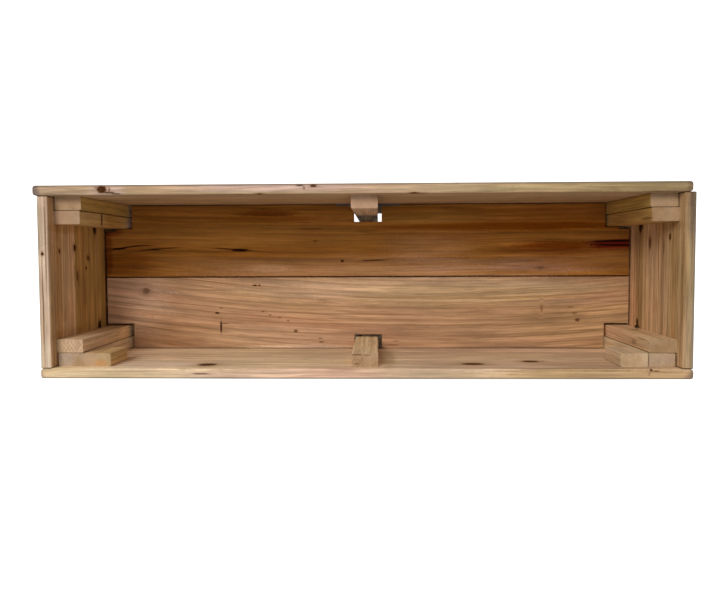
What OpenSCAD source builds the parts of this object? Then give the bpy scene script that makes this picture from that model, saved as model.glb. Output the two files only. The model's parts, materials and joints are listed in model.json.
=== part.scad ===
// Rolling planter box: a long timber box of stacked boards on four swivel casters.
// X runs along the box, +Y points to the rear wall, Z is up and the floor under the wheels is Z = 0.

/* [Box] */
// Length of the box over its end walls
box_l = 1071; // [800:1:1400]
// Width of the box over its long walls
box_w = 320; // [290:1:480]
// Height of one course of wall boards
board_h = 89; // [80:1:120]
// Thickness of the long wall boards
long_wall_t = 17; // [14:0.5:24]
// Thickness of the end wall boards
end_wall_t = 18; // [14:0.5:24]
// Sideways slip of the rear wall against the rest of the box
rear_slip = 6; // [0:0.5:10]
// Rounding along the edges of the wall boards
board_ease = 2; // [1:0.5:5]
// Rounding of the long wall boards' ends, seen from above
board_end_round = 5; // [2:0.5:6]
// Rounding of the end wall boards' ends, seen from above
end_board_round = 2.5; // [1:0.5:5]

/* [Posts and battens] */
// Width of the batten stock, along the box
batten_w = 44.5; // [38:0.5:60]
// Thickness of the batten stock, across the box
batten_t = 22.5; // [18:0.5:30]
// Rounding along the batten edges
batten_ease = 2; // [1:0.5:4]
// Drop of the batten tops below the rim
batten_drop = 19; // [5:1:40]
// Gap between the two battens of a corner post
post_gap = 1; // [0.3:0.1:3]
// Gap between the outer batten of a post and the end wall
outer_batten_gap = 2.5; // [0:0.5:5]
// Offset of the middle battens to the right of the middle
mid_batten_x = 3.5; // [-20:0.5:20]
// Length of the short blocks beside the front posts
block_l = 70; // [50:1:130]
// Length of the offcut that tops the inner batten of the rear left post
offcut_l = 84; // [60:1:140]

/* [Floor] */
// Drop of the floor's top face below the rim
floor_drop = 217; // [190:1:240]
// Thickness of the floor boards
floor_t = 17; // [14:0.5:24]
// Rounding along the floor boards' edges
floor_ease = 1.5; // [0.5:0.5:4]
// Gap between the two floor boards
floor_seam = 0.5; // [0.3:0.1:4]
// Gap between the floor and the long walls
floor_side_gap = 1; // [0.5:0.5:6]
// Gap between the floor and the end walls
floor_end_gap = 2; // [0.5:0.5:6]
// Gap beside the left posts in the floor's corner notches
notch_gap_left = 8; // [1:0.5:15]
// Gap beside the right posts in the floor's corner notches
notch_gap_right = 2; // [1:0.5:15]
// Gap in front of the posts in the front corner notches
notch_gap_front = 4.5; // [1:0.5:12]
// Gap in front of the posts in the rear corner notches
notch_gap_rear = 1.5; // [1:0.5:12]
// Length of the deeper saw nick in the rear corner notches, from the end wall on
nick_l = 23; // [10:1:40]
// Gap in front of the rear posts in those nicks
nick_gap = 6; // [2:0.5:12]
// Gap to the left of the middle battens in their notches
mid_notch_gap_left = 2.5; // [1:0.5:12]
// Gap to the right of the middle battens in their notches
mid_notch_gap_right = 7.5; // [1:0.5:15]
// Depth of the gap before the front middle batten
mid_notch_gap_front = 6; // [1:0.5:20]
// Depth of the gap before the rear middle batten
mid_notch_gap_rear = 12.5; // [1:0.5:20]
// Length of the saw slits on both sides of the rear middle notch
slit_l = 36; // [10:1:60]
// Width of those slits
slit_w = 3; // [1:0.5:6]
// Drop of the bearers' screws below the floor boards
bearer_screw_drop = 16; // [10:1:24]

/* [Caster boards] */
// Width of the boards that carry the casters
caster_board_w = 89; // [80:1:140]
// Thickness of the boards that carry the casters
caster_board_t = 17; // [16:0.5:26]

/* [Casters] */
// Height of a caster from the ground to the top of its plate
caster_h = 64; // [62:0.5:75]
// Diameter of the wheels
wheel_d = 50; // [46:0.5:52]
// Width of the wheels' tread
wheel_w = 21; // [17:0.5:24]
// Distance of the wheel's axle behind the swivel axis
trail = 22; // [20:0.5:25]
// Distance of the swivel axis from the long wall's inner face
caster_inset = 43; // [40:0.5:60]
// Length of the mounting plate, along the box
plate_l = 62; // [60:1:75]
// Width of the mounting plate, across the box
plate_w = 48; // [46:1:56]
// Thickness of the mounting plate
plate_t = 2.5; // [2:0.1:3]
// Hole distance of the mounting plate, along the box
plate_hole_l = 46; // [44:0.5:50]
// Hole distance of the mounting plate, across the box
plate_hole_w = 32; // [30:0.5:36]
// Thickness of the fork's sheet steel
fork_t = 2.5; // [2:0.1:3]
// Diameter of the axle bolt
axle_d = 8; // [6:0.5:9]
// Diameter of the kingpin on the swivel axis
kingpin_d = 8; // [6:0.5:9]
// Length of the brake pedal, from the swivel axis to its toe
pedal_reach = 62; // [60:1:70]
// Direction in which each caster trails, in the order front left, front right, rear left, rear right
caster_turn = [200, -40, 150, 30];
// Travel of the brake pedals, which stand pressed down
brake_swing = 12; // [10:1:14]

/* [Screws] */
// Diameter of the wood screws' shank
screw_d = 4.2; // [3.5:0.1:5]
// Diameter of the wood screws' countersunk head
screw_head_d = 8.5; // [7.5:0.1:9.5]
// Length of the screws through the walls
wall_screw_l = 35; // [30:1:36]
// Length of the screws through the walls and the middle battens
long_screw_l = 65; // [55:1:75]
// Length of the screws through the caster boards
post_screw_l = 45; // [35:1:60]
// Shift of those screws from the battens' middle, away from the end walls
post_screw_shift = 10; // [8:1:12]
// Height of each pair of long wall screws, half of it above a board's middle
long_screw_spread = 48; // [30:1:60]
// Drop of the topmost of those screws below the batten tops
top_screw_drop = 14; // [8:1:18]
// Height of each pair of end wall screws, half of it above a board's middle
end_screw_spread = 20; // [12:1:26]
// Diameter of the pocket for the pocket screws
pocket_d = 11; // [9.5:0.5:11]
// Slope of the pocket screws against the end wall
pocket_slope = 10; // [9:1:11]
// Distance from the long wall to where a pocket's axis enters the end wall
pocket_start = 26.5; // [24:0.5:30]
// Height of a pocket's axis above or below the seam beside it
pocket_rise = 6.5; // [6:0.5:12]
// Length of the pocket screws, from their heads on
pocket_screw_l = 20; // [18:0.5:21]

/* [Hidden] */

$fn = 64;
courses = 6;
arc_steps = 4;
reach = 5;

// Sides and ends of the box: front and left are -1, rear and right are 1
front = -1;
rear = 1;
left = -1;
right = 1;
middle = 0;
outer = 0;
inner = 1;

// Heights
rim_z = caster_h + courses * board_h;
batten_top_z = rim_z - batten_drop;
floor_top_z = rim_z - floor_drop;
floor_low_z = floor_top_z - floor_t;
post_low_z = caster_h + caster_board_t;

// Inner faces of the walls, in the box's own middle
wall_y = box_w / 2 - long_wall_t;
wall_x = box_l / 2 - end_wall_t;
// Middle of the front wall, end walls and everything inside, and middle of the rear wall
main_x = rear_slip / 2;
rear_x = -rear_slip / 2;
// Inner face of the posts across the box, and the outer battens' edge along it
post_y = wall_y - 2 * batten_t - post_gap;
outer_batten_x = wall_x - outer_batten_gap - batten_w;
// Gap between the offcut and the batten under it
offcut_gap = 0.4;

// Casters
caster_x = wall_x - caster_board_w / 2;
caster_y = wall_y - caster_inset;
wheel_r = wheel_d / 2;
axle_z = wheel_r - caster_h;
side_gap = 1;
hub_gap = 0.3;
fork_in = wheel_w / 2 + side_gap;
fork_out = fork_in + fork_t;
run_fit = 0.06;
race_gap = 0.3;
cup_r = 18.3;
cup_t = 2.5;
race_r = cup_r - cup_t - 0.4;
crown_z = -(plate_t + 3.9);
crown_low_z = crown_z - fork_t;
crown_back = -16;
crown_front = 20;
boss_r = 8;
fork_bend_r = 4;
pin_head_r = 7.5;
pin_head_t = 2;

// Brake pedal, in the caster's own frame
ear_r = 4.5;
ear_gap = 0.1;
pivot_x = trail + 18;
pivot_z = crown_z - ear_r - ear_gap;
pivot_d = 4;
pedal_hub_r = 3.6;
pedal_w = 26;
pedal_t = 3;
shoe_w = 18;
shoe_tip_r = 1.2;
shoe_gap = 0.3;
pivot_dist = norm([pivot_x - trail, pivot_z - axle_z]);
pivot_down = atan2(axle_z - pivot_z, trail - pivot_x);
shoe_l = pivot_dist * cos(brake_swing)
    - sqrt(pow(wheel_r + shoe_gap + shoe_tip_r, 2) - pow(pivot_dist * sin(brake_swing), 2));

// Screws
screw_r = screw_d / 2;
screw_head_r = screw_head_d / 2;
screw_sink = 0.4;
screw_fit = 0.15;
plate_screw_r = 2;
plate_screw_l = 14;
plate_screw_head_r = 3.5;
plate_screw_head_t = 2.2;
plate_slot_w = 5.2;
plate_slot_l = 8;
hex_r = 7.5;
bolt_head_t = 5;
nut_t = 6;
nut_fit = 0.05;
pocket_l = 14;
pocket_head_r = 4;
pocket_head_t = 2;

// Outlines

// A quarter round of radius r about a centre, from one angle on
function quarter(cx, cy, r, from) = [
    for (k = [0 : arc_steps])
        let (a = from + 90 * k / arc_steps) [cx + r * cos(a), cy + r * sin(a)]
];

// A rectangle from the origin to [a, b] with rounded corners
function eased(a, b, r) = concat(
    quarter(r, r, r, 180), quarter(a - r, r, r, 270),
    quarter(a - r, b - r, r, 0), quarter(r, b - r, r, 90)
);

// An arc of points about a centre, between two angles
function arc(cx, cy, r, from, to, steps) = [
    for (k = [0 : steps])
        let (a = from + (to - from) * k / steps) [cx + r * cos(a), cy + r * sin(a)]
];

// Lower face of a wall course, counted from the rim down
function course_z(course) = rim_z - course * board_h;

// Course that holds the pockets: on both sides of the second seam
function pocket_course(side) = side == front ? 3 : 2;

// Boards and screws

// A board that lies along X, from the origin, with eased edges and rounded ends
module board(l, t, h, ease, end_round) {
    intersection() {
        rotate([90, 0, 90]) linear_extrude(l) polygon(eased(t, h, ease));
        linear_extrude(h) polygon(eased(l, t, end_round));
    }
}

// A batten that stands upright on the origin, centred along X
module batten(h) {
    translate([-batten_w / 2, 0, 0]) linear_extrude(h) polygon(eased(batten_w, batten_t, batten_ease));
}

// A countersunk wood screw: the work's face is Z = 0 and the screw points down
module wood_screw(l) {
    rotate_extrude() polygon([
        [0, -screw_sink],
        [screw_head_r, -screw_sink],
        [screw_r, -screw_sink - screw_head_r + screw_r],
        [screw_r, -l + 2 * screw_r],
        [0, -l]
    ]);
}

// The hole that a wood screw sits in
module screw_hole(l) {
    rotate_extrude() polygon([
        [0, reach],
        [screw_head_r + screw_fit, reach],
        [screw_head_r + screw_fit, -screw_sink],
        [screw_r + screw_fit, -screw_sink - screw_head_r + screw_r],
        [screw_r + screw_fit, -l - screw_fit],
        [0, -l - screw_fit]
    ]);
}

// Screw places of one end, or the middle, of one board of a long wall
module long_wall_places(side, end, course) {
    x = end == middle ? mid_batten_x : end * (outer_batten_x + batten_w / 2);
    top_rise = board_h / 2 - batten_drop - top_screw_drop;
    high_rise = course == 1 ? top_rise : long_screw_spread / 2;
    rises = end == middle ? [0] : [-long_screw_spread / 2, high_rise];
    for (rise = rises)
        translate([main_x + x, side * box_w / 2, course_z(course) + board_h / 2 + rise])
            rotate([-side * 90, 0, 0]) children();
}

// Screw place of one batten at one board of an end wall
module end_wall_place(end, side, ply, course) {
    y = wall_y - (ply + 0.5) * batten_t - ply * post_gap;
    rise = (ply == outer ? 1 : -1) * end_screw_spread / 2;
    translate([main_x + end * box_l / 2, side * y, course_z(course) + board_h / 2 + rise])
        rotate([0, end * 90, 0]) children();
}

// Screw place of the block beside a front post
module block_place(end) {
    translate([main_x + end * (outer_batten_x - batten_w / 2), -box_w / 2, batten_top_z - block_l / 2])
        rotate([90, 0, 0]) children();
}

// Screw places of an end bearer
module end_bearer_places(end) {
    for (y = [-post_y + batten_w, 0, post_y - batten_w])
        translate([main_x + end * (wall_x - batten_t), y, floor_low_z - bearer_screw_drop])
            rotate([0, -end * 90, 0]) children();
}

// Screw place of the middle bearer, through a long wall and its middle batten
module middle_bearer_place(side) {
    translate([main_x + mid_batten_x, side * box_w / 2, floor_low_z - batten_w / 2])
        rotate([-side * 90, 0, 0]) children();
}

// Screw places of a caster board, into the battens of the two posts above it
module caster_board_places(end, side) {
    outer_x = outer_batten_x + batten_w / 2 - post_screw_shift;
    inner_x = wall_x - batten_w / 2 - post_screw_shift;
    translate([main_x + end * outer_x, side * (wall_y - batten_t / 2), caster_h])
        rotate([180, 0, 0]) children();
    translate([main_x + end * inner_x, side * (post_y + batten_t / 2), caster_h])
        rotate([180, 0, 0]) children();
}

// Place of a pocket screw: beside a post, pointing through the end wall at the long wall
module pocket_place(end, side) {
    z = course_z(2) + side * pocket_rise;
    translate([main_x + end * wall_x, side * (wall_y - pocket_start), z])
        rotate([side * 90, 0, 0])
        rotate([0, -end * pocket_slope, 0]) children();
}

// The pocket, open towards the inside of the box, and the pilot hole beyond it
module pocket_hole() {
    mouth = pocket_d / 2 / tan(pocket_slope) + reach;
    bore_l = pocket_l + pocket_screw_l + screw_fit;
    translate([0, 0, -pocket_l]) cylinder(d = pocket_d, h = pocket_l + mouth);
    translate([0, 0, -bore_l]) cylinder(r = screw_r + screw_fit, h = bore_l);
}

// Places of the four screws of a caster plate, pointing up into the board
module plate_places(end, side) {
    for (x = [-1, 1], y = [-1, 1])
        translate([
            main_x + end * caster_x + x * plate_hole_l / 2,
            side * caster_y + y * plate_hole_w / 2,
            caster_h - plate_t
        ]) rotate([180, 0, 0]) children();
}

// Walls

module long_wall_board(side, course) {
    x = side == front ? main_x : rear_x;
    y = side == front ? -box_w / 2 : wall_y;
    difference() {
        translate([x - box_l / 2, y, course_z(course)])
            board(box_l, long_wall_t, board_h, board_ease, board_end_round);
        for (end = [left, middle, right])
            long_wall_places(side, end, course) screw_hole(wall_screw_l);
        if (course == 3) middle_bearer_place(side) screw_hole(long_screw_l);
        if (course == 1 && side == front)
            for (end = [left, right]) block_place(end) screw_hole(wall_screw_l);
        if (course == pocket_course(side))
            for (end = [left, right]) pocket_place(end, side) pocket_hole();
    }
}

module end_wall_board(end, course) {
    x = end == left ? -box_l / 2 : wall_x;
    difference() {
        translate([main_x + x + end_wall_t, -wall_y, course_z(course)])
            rotate([0, 0, 90]) board(2 * wall_y, end_wall_t, board_h, board_ease, end_board_round);
        for (side = [front, rear], ply = [outer, inner])
            end_wall_place(end, side, ply, course) screw_hole(wall_screw_l);
        if (course == 3) end_bearer_places(end) screw_hole(wall_screw_l);
        for (side = [front, rear])
            if (course == pocket_course(side)) pocket_place(end, side) pocket_hole();
    }
}

module front_wall_board(course) {
    color([0.74, 0.58, 0.42]) long_wall_board(front, course);
}

module rear_wall_board(course) {
    color([0.72, 0.57, 0.42]) long_wall_board(rear, course);
}

module left_end_board(course) {
    color([0.70, 0.55, 0.40]) end_wall_board(left, course);
}

module right_end_board(course) {
    color([0.69, 0.54, 0.39]) end_wall_board(right, course);
}

// Posts, battens and blocks

module post_batten(end, side, ply) {
    x = ply == outer ? outer_batten_x + batten_w / 2 : wall_x - batten_w / 2;
    y = ply == outer ? wall_y - batten_t : post_y;
    topped = end == left && side == rear && ply == inner;
    long_h = batten_top_z - post_low_z - (topped ? offcut_l + offcut_gap : 0);
    color([0.66, 0.51, 0.37]) difference() {
        translate([main_x + end * x, side * y + (side < 0 ? -batten_t : 0), 0]) {
            translate([0, 0, post_low_z]) batten(long_h);
            if (topped) translate([0, 0, batten_top_z - offcut_l]) batten(offcut_l);
        }
        for (course = [1 : courses]) {
            if (ply == outer) long_wall_places(side, end, course) screw_hole(wall_screw_l);
            end_wall_place(end, side, ply, course) screw_hole(wall_screw_l);
        }
        caster_board_places(end, side) screw_hole(post_screw_l);
    }
}

module middle_batten(side) {
    y = side == front ? -wall_y : wall_y - batten_t;
    color([0.68, 0.54, 0.40]) difference() {
        translate([main_x + mid_batten_x, y, caster_h]) batten(batten_top_z - caster_h);
        for (course = [1 : courses]) long_wall_places(side, middle, course) screw_hole(wall_screw_l);
        middle_bearer_place(side) screw_hole(long_screw_l);
    }
}

module corner_block(end) {
    color([0.68, 0.53, 0.39]) difference() {
        translate([main_x + end * (outer_batten_x - batten_w / 2), -wall_y, batten_top_z - block_l])
            batten(block_l);
        block_place(end) screw_hole(wall_screw_l);
    }
}

// Floor

// A notch in the floor, from its edges along the box and across it
module notch(x_from, x_to, y_from, y_to) {
    translate([min(x_from, x_to), min(y_from, y_to), floor_low_z - reach])
        cube([abs(x_to - x_from), abs(y_to - y_from), floor_t + 2 * reach]);
}

module floor_board(side) {
    l = 2 * (wall_x - floor_end_gap);
    w = wall_y - floor_side_gap - floor_seam / 2;
    y = side == front ? -wall_y + floor_side_gap : floor_seam / 2;
    edge = side * (wall_y + reach);
    corner_y = side * (post_y - (side == front ? notch_gap_front : notch_gap_rear));
    mid_y = side * (wall_y - batten_t - (side == front ? mid_notch_gap_front : mid_notch_gap_rear));
    mid_left = mid_batten_x - batten_w / 2 - mid_notch_gap_left;
    mid_right = mid_batten_x + batten_w / 2 + mid_notch_gap_right;
    color(side == front ? [0.62, 0.44, 0.30] : [0.45, 0.29, 0.17])
        translate([main_x, 0, 0]) difference() {
            translate([-l / 2, y, floor_low_z]) board(l, w, floor_t, floor_ease, floor_ease);
            notch(-wall_x - reach, -outer_batten_x + notch_gap_left, corner_y, edge);
            notch(wall_x + reach, outer_batten_x - notch_gap_right, corner_y, edge);
            notch(mid_left, mid_right, mid_y, edge);
            if (side == rear) {
                notch(mid_left - slit_l, mid_right + slit_l, wall_y - floor_side_gap - slit_w, edge);
                for (end = [left, right])
                    notch(end * (wall_x + reach), end * (wall_x - nick_l), post_y - nick_gap, edge);
            }
        }
}

module end_floor_bearer(end) {
    l = 2 * (post_y - floor_seam);
    x = end == left ? -wall_x : wall_x - batten_t;
    color([0.60, 0.47, 0.34]) difference() {
        translate([main_x + x + batten_t, -l / 2, floor_low_z - batten_w])
            rotate([0, 0, 90]) board(l, batten_t, batten_w, batten_ease, batten_ease);
        end_bearer_places(end) screw_hole(wall_screw_l);
    }
}

module middle_floor_bearer() {
    l = 2 * (wall_y - batten_t);
    color([0.60, 0.47, 0.34]) difference() {
        translate([main_x + mid_batten_x + batten_t / 2, -l / 2, floor_low_z - batten_w])
            rotate([0, 0, 90]) board(l, batten_t, batten_w, batten_ease, batten_ease);
        for (side = [front, rear]) middle_bearer_place(side) screw_hole(long_screw_l);
    }
}

// Caster boards

module caster_board(end) {
    x = end == left ? -wall_x : wall_x - caster_board_w;
    color([0.58, 0.45, 0.33]) difference() {
        translate([main_x + x + caster_board_w, -wall_y, caster_h])
            rotate([0, 0, 90]) board(2 * wall_y, caster_board_w, caster_board_t, batten_ease, batten_ease);
        for (side = [front, rear]) {
            caster_board_places(end, side) screw_hole(post_screw_l);
            plate_places(end, side) plate_screw_hole();
        }
    }
}

// Casters: the frame of one caster has its origin on the swivel axis, at the top of the plate,
// and the wheel trails along +X

module at_caster(end, side) {
    translate([main_x + end * caster_x, side * caster_y, caster_h]) children();
}

module turned(end, side) {
    at_caster(end, side) rotate([0, 0, caster_turn[(end + 1) / 2 + side + 1]]) children();
}

// A slot for one plate screw, along X
module plate_slot() {
    run = plate_slot_l - plate_slot_w;
    translate([0, 0, -plate_t - reach]) {
        for (x = [-run / 2, run / 2]) translate([x, 0, 0]) cylinder(d = plate_slot_w, h = plate_t + 2 * reach);
        translate([-run / 2, -plate_slot_w / 2, 0]) cube([run, plate_slot_w, plate_t + 2 * reach]);
    }
}

module caster_plate() {
    difference() {
        union() {
            translate([-plate_l / 2, -plate_w / 2, -plate_t])
                linear_extrude(plate_t) polygon(eased(plate_l, plate_w, 4));
            rotate_extrude() polygon([
                [cup_r - cup_t, -plate_t / 2],
                [cup_r, -plate_t / 2],
                [cup_r, crown_z + 1.2],
                [cup_r - 0.8, crown_z + 0.4],
                [cup_r - cup_t, crown_z + 0.4]
            ]);
            rotate_extrude() polygon([
                [0, -plate_t / 2],
                [kingpin_d / 2, -plate_t / 2],
                [kingpin_d / 2, crown_low_z - race_gap],
                [pin_head_r, crown_low_z - race_gap],
                [pin_head_r - 1, crown_low_z - race_gap - pin_head_t],
                [0, crown_low_z - race_gap - pin_head_t]
            ]);
        }
        for (x = [-1, 1], y = [-1, 1])
            translate([x * plate_hole_l / 2, y * plate_hole_w / 2, 0]) plate_slot();
    }
}

module caster_plates() {
    color([0.72, 0.73, 0.75])
        for (end = [left, right], side = [front, rear]) at_caster(end, side) caster_plate();
}

// Bent steel sheet seen along X: an upside-down U over the wheel
module fork_section() {
    low = axle_z - boss_r - reach;
    difference() {
        polygon(concat(
            [[-fork_out, low], [fork_out, low]],
            quarter(fork_out - fork_bend_r, crown_z - fork_bend_r, fork_bend_r, 0),
            quarter(-fork_out + fork_bend_r, crown_z - fork_bend_r, fork_bend_r, 90)
        ));
        polygon(concat(
            [[-fork_in, low - reach], [fork_in, low - reach]],
            quarter(fork_in - fork_bend_r + fork_t, crown_low_z - fork_bend_r + fork_t, fork_bend_r - fork_t, 0),
            quarter(-fork_in + fork_bend_r - fork_t, crown_low_z - fork_bend_r + fork_t, fork_bend_r - fork_t, 90)
        ));
    }
}

// The fork's cheeks seen from the side: a crown that tapers down to the axle boss
module fork_cheek() {
    polygon(concat(
        [[crown_back, crown_z + 1], [crown_front, crown_z + 1]],
        arc(trail, axle_z, boss_r, 10, -200, 14),
        [[crown_back, crown_low_z - fork_bend_r]]
    ));
}

// The ears that carry the brake pedal, seen from the side
module brake_ear() {
    polygon(concat(
        arc(pivot_x, pivot_z, ear_r, 90, -90, 10),
        [[crown_front, pivot_z - ear_r - 5], [crown_front - 6, pivot_z - ear_r - 5], [crown_front - 6, pivot_z + ear_r]]
    ));
}

module fork(braked) {
    span = pivot_x + ear_r + 2 * reach - crown_back;
    color([0.62, 0.63, 0.65]) difference() {
        union() {
            intersection() {
                translate([crown_back - reach, 0, 0])
                    rotate([90, 0, 90]) linear_extrude(span) fork_section();
                translate([0, fork_out + reach, 0])
                    rotate([90, 0, 0]) linear_extrude(2 * (fork_out + reach)) {
                        fork_cheek();
                        if (braked) brake_ear();
                    }
            }
            translate([0, 0, crown_z - 1]) cylinder(r = race_r, h = -plate_t - race_gap - crown_z + 1);
        }
        translate([0, 0, crown_low_z - reach]) cylinder(r = kingpin_d / 2 + run_fit, h = -crown_low_z + 2 * reach);
        translate([trail, fork_out + reach, axle_z])
            rotate([90, 0, 0]) cylinder(r = axle_d / 2 + run_fit, h = 2 * (fork_out + reach));
        if (braked) {
            translate([pivot_x, fork_out + reach, pivot_z])
                rotate([90, 0, 0]) cylinder(r = pivot_d / 2 + run_fit, h = 2 * (fork_out + reach));
            translate([crown_front, -fork_in, crown_low_z - reach]) cube([span, 2 * fork_in, -crown_low_z + reach]);
        }
    }
}

module wheel() {
    bore_r = axle_d / 2 + run_fit;
    hub_r = bore_r + 4.5;
    hub_w = 2 * (fork_in - hub_gap);
    rim_r = wheel_r - 8;
    web_t = 8;
    tread_r = 2.5;
    color([0.16, 0.16, 0.17])
        translate([trail, 0, axle_z]) rotate([90, 0, 0]) rotate_extrude() polygon(concat(
            [[bore_r, -hub_w / 2], [hub_r, -hub_w / 2], [hub_r + 1, -web_t / 2],
             [rim_r - 1, -web_t / 2], [rim_r, -wheel_w / 2]],
            quarter(wheel_r - tread_r, -wheel_w / 2 + tread_r, tread_r, 270),
            quarter(wheel_r - tread_r, wheel_w / 2 - tread_r, tread_r, 0),
            [[rim_r, wheel_w / 2], [rim_r - 1, web_t / 2],
             [hub_r + 1, web_t / 2], [hub_r, hub_w / 2], [bore_r, hub_w / 2]]
        ));
}

// The bolt and its nut: two solids that clamp the fork's cheeks
module axle_bolt() {
    color([0.78, 0.79, 0.80]) translate([trail, 0, axle_z]) rotate([90, 0, 0]) {
        translate([0, 0, -fork_out - nut_t - 2]) cylinder(d = axle_d, h = 2 * fork_out + nut_t + 3);
        translate([0, 0, fork_out]) cylinder(r = hex_r, h = bolt_head_t, $fn = 6);
        difference() {
            translate([0, 0, -fork_out - nut_t]) cylinder(r = hex_r, h = nut_t, $fn = 6);
            translate([0, 0, -fork_out - nut_t - reach])
                cylinder(r = axle_d / 2 + nut_fit, h = nut_t + 2 * reach);
        }
    }
}

// The pedal's arm and toe, seen from the side
module pedal_side() {
    toe = pedal_reach;
    polygon([
        [pivot_x - 1, pivot_z + pedal_t], [pivot_x + 10, pivot_z + 1.5], [toe - 1, pivot_z - 2.5],
        [toe, pivot_z - 5], [toe - 2, pivot_z - 5.4], [pivot_x + 10, pivot_z + 1.5 - pedal_t], [pivot_x, pivot_z - 1]
    ]);
}

// The pedal seen from above: narrow between the ears and wide at the toe
module pedal_plan() {
    neck = shoe_w / 2;
    half = pedal_w / 2;
    shoulder = pivot_x + ear_r + 1;
    toe = pedal_reach;
    polygon([
        [pivot_x - 2, -neck], [shoulder, -neck], [shoulder + 2, -half], [toe - 4, -half], [toe + 1, -half + 4],
        [toe + 1, half - 4], [toe - 4, half], [shoulder + 2, half], [shoulder, neck], [pivot_x - 2, neck]
    ]);
}

// The whole pedal on its pivot, as it stands when it is let up
module raised_pedal() {
    hub_w = 2 * (fork_in - hub_gap);
    intersection() {
        translate([-pivot_x, pedal_w, -pivot_z]) rotate([90, 0, 0]) linear_extrude(2 * pedal_w) pedal_side();
        translate([-pivot_x, 0, -pedal_reach]) linear_extrude(2 * pedal_reach) pedal_plan();
    }
    rotate([90, 0, 0]) cylinder(r = pedal_hub_r, h = hub_w, center = true);
    rotate([90, 0, 0]) cylinder(d = pivot_d, h = 2 * fork_out + 0.6, center = true);
    rotate([0, -pivot_down - 2 * brake_swing, 0]) {
        translate([0, -shoe_w / 2, -shoe_tip_r]) cube([shoe_l, shoe_w, 2 * shoe_tip_r]);
        translate([shoe_l, 0, 0]) rotate([90, 0, 0]) cylinder(r = shoe_tip_r, h = shoe_w, center = true);
    }
}

// The pedal pressed down, with its shoe on the tread
module brake_pedal() {
    color([0.70, 0.13, 0.10])
        translate([pivot_x, 0, pivot_z]) rotate([0, brake_swing, 0]) raised_pedal();
}

// Screws

module plate_screw() {
    cylinder(r = plate_screw_head_r, h = plate_screw_head_t);
    translate([0, 0, -plate_t - plate_screw_l]) cylinder(r = plate_screw_r, h = plate_t + plate_screw_l + 1);
}

module plate_screw_hole() {
    translate([0, 0, -plate_t - plate_screw_l - screw_fit])
        cylinder(r = plate_screw_r + screw_fit, h = plate_t + plate_screw_l + reach);
}

module pocket_screw() {
    translate([0, 0, -pocket_l]) cylinder(r = pocket_head_r, h = pocket_head_t);
    translate([0, 0, -pocket_l - pocket_screw_l]) cylinder(r = screw_r, h = pocket_screw_l + pocket_head_t / 2);
}

module box_screws() {
    color([0.45, 0.43, 0.38]) {
        for (course = [1 : courses], side = [front, rear]) {
            for (end = [left, middle, right]) long_wall_places(side, end, course) wood_screw(wall_screw_l);
            for (end = [left, right], ply = [outer, inner])
                end_wall_place(end, side, ply, course) wood_screw(wall_screw_l);
        }
        for (end = [left, right]) {
            block_place(end) wood_screw(wall_screw_l);
            end_bearer_places(end) wood_screw(wall_screw_l);
            for (side = [front, rear]) {
                caster_board_places(end, side) wood_screw(post_screw_l);
                pocket_place(end, side) pocket_screw();
            }
        }
        for (side = [front, rear]) middle_bearer_place(side) wood_screw(long_screw_l);
    }
}

module caster_screws() {
    color([0.75, 0.76, 0.78])
        for (end = [left, right], side = [front, rear]) plate_places(end, side) plate_screw();
}

front_wall_board(1);  // front_wall_board_1
front_wall_board(2);  // front_wall_board_2
front_wall_board(3);  // front_wall_board_3
front_wall_board(4);  // front_wall_board_4
front_wall_board(5);  // front_wall_board_5
front_wall_board(6);  // front_wall_board_6
rear_wall_board(1);  // rear_wall_board_1
rear_wall_board(2);  // rear_wall_board_2
rear_wall_board(3);  // rear_wall_board_3
rear_wall_board(4);  // rear_wall_board_4
rear_wall_board(5);  // rear_wall_board_5
rear_wall_board(6);  // rear_wall_board_6
left_end_board(1);  // left_end_board_1
left_end_board(2);  // left_end_board_2
left_end_board(3);  // left_end_board_3
left_end_board(4);  // left_end_board_4
left_end_board(5);  // left_end_board_5
left_end_board(6);  // left_end_board_6
right_end_board(1);  // right_end_board_1
right_end_board(2);  // right_end_board_2
right_end_board(3);  // right_end_board_3
right_end_board(4);  // right_end_board_4
right_end_board(5);  // right_end_board_5
right_end_board(6);  // right_end_board_6
post_batten(left, front, outer);  // front_left_outer_post_batten
post_batten(left, front, inner);  // front_left_inner_post_batten
post_batten(right, front, outer);  // front_right_outer_post_batten
post_batten(right, front, inner);  // front_right_inner_post_batten
post_batten(left, rear, outer);  // rear_left_outer_post_batten
post_batten(left, rear, inner);  // rear_left_inner_post_batten
post_batten(right, rear, outer);  // rear_right_outer_post_batten
post_batten(right, rear, inner);  // rear_right_inner_post_batten
middle_batten(front);  // front_middle_batten
middle_batten(rear);  // rear_middle_batten
corner_block(left);  // front_left_corner_block
corner_block(right);  // front_right_corner_block
floor_board(front);  // front_floor_board
floor_board(rear);  // rear_floor_board
end_floor_bearer(left);  // left_floor_bearer
middle_floor_bearer();
end_floor_bearer(right);  // right_floor_bearer
caster_board(left);  // left_caster_board
caster_board(right);  // right_caster_board
caster_plates();
turned(left, front) fork(true);  // front_left_fork
turned(right, front) fork(true);  // front_right_fork
turned(left, rear) fork(false);  // rear_left_fork
turned(right, rear) fork(false);  // rear_right_fork
turned(left, front) wheel();  // front_left_wheel
turned(right, front) wheel();  // front_right_wheel
turned(left, rear) wheel();  // rear_left_wheel
turned(right, rear) wheel();  // rear_right_wheel
turned(left, front) axle_bolt();  // front_left_axle_bolt
turned(right, front) axle_bolt();  // front_right_axle_bolt
turned(left, rear) axle_bolt();  // rear_left_axle_bolt
turned(right, rear) axle_bolt();  // rear_right_axle_bolt
turned(left, front) brake_pedal();  // front_left_brake_pedal
turned(right, front) brake_pedal();  // front_right_brake_pedal
box_screws();
caster_screws();
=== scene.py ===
"""Looks of the rolling planter box: a long timber box on casters, seen from straight above its opening."""

import json
import math

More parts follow.
